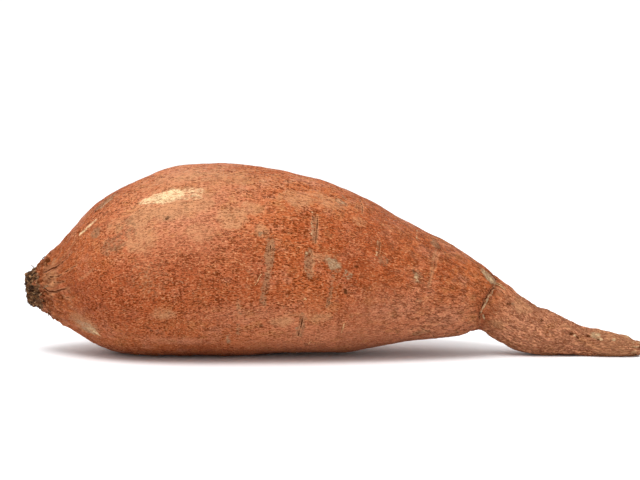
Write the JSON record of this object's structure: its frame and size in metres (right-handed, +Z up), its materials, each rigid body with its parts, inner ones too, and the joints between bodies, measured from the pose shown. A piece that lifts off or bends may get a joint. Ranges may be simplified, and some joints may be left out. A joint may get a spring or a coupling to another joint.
{
  "type": "sweet potato",
  "caption": "Whole sweet potato root lying on its side, with a plump belly, a blunt cut stem end, a pinched waist and a thin tail that bends down to the surface.",
  "frame": {"origin": "on the surface it rests on, under the middle of the root's box", "axes": "+X along the root from the cut stem end to the tail tip, +Z up, -Y towards the side that is seen first"},
  "size_m": [0.232, 0.0786, 0.0717],
  "materials": {
    "skin": "dry thin root skin, satin, copper orange to brick, with fine lengthwise dark pores and wrinkles, pale scrapes and grey-brown scars"
  },
  "bodies": {
    "root": {"sweet_potato": "skin"}
  },
  "joints": []
}
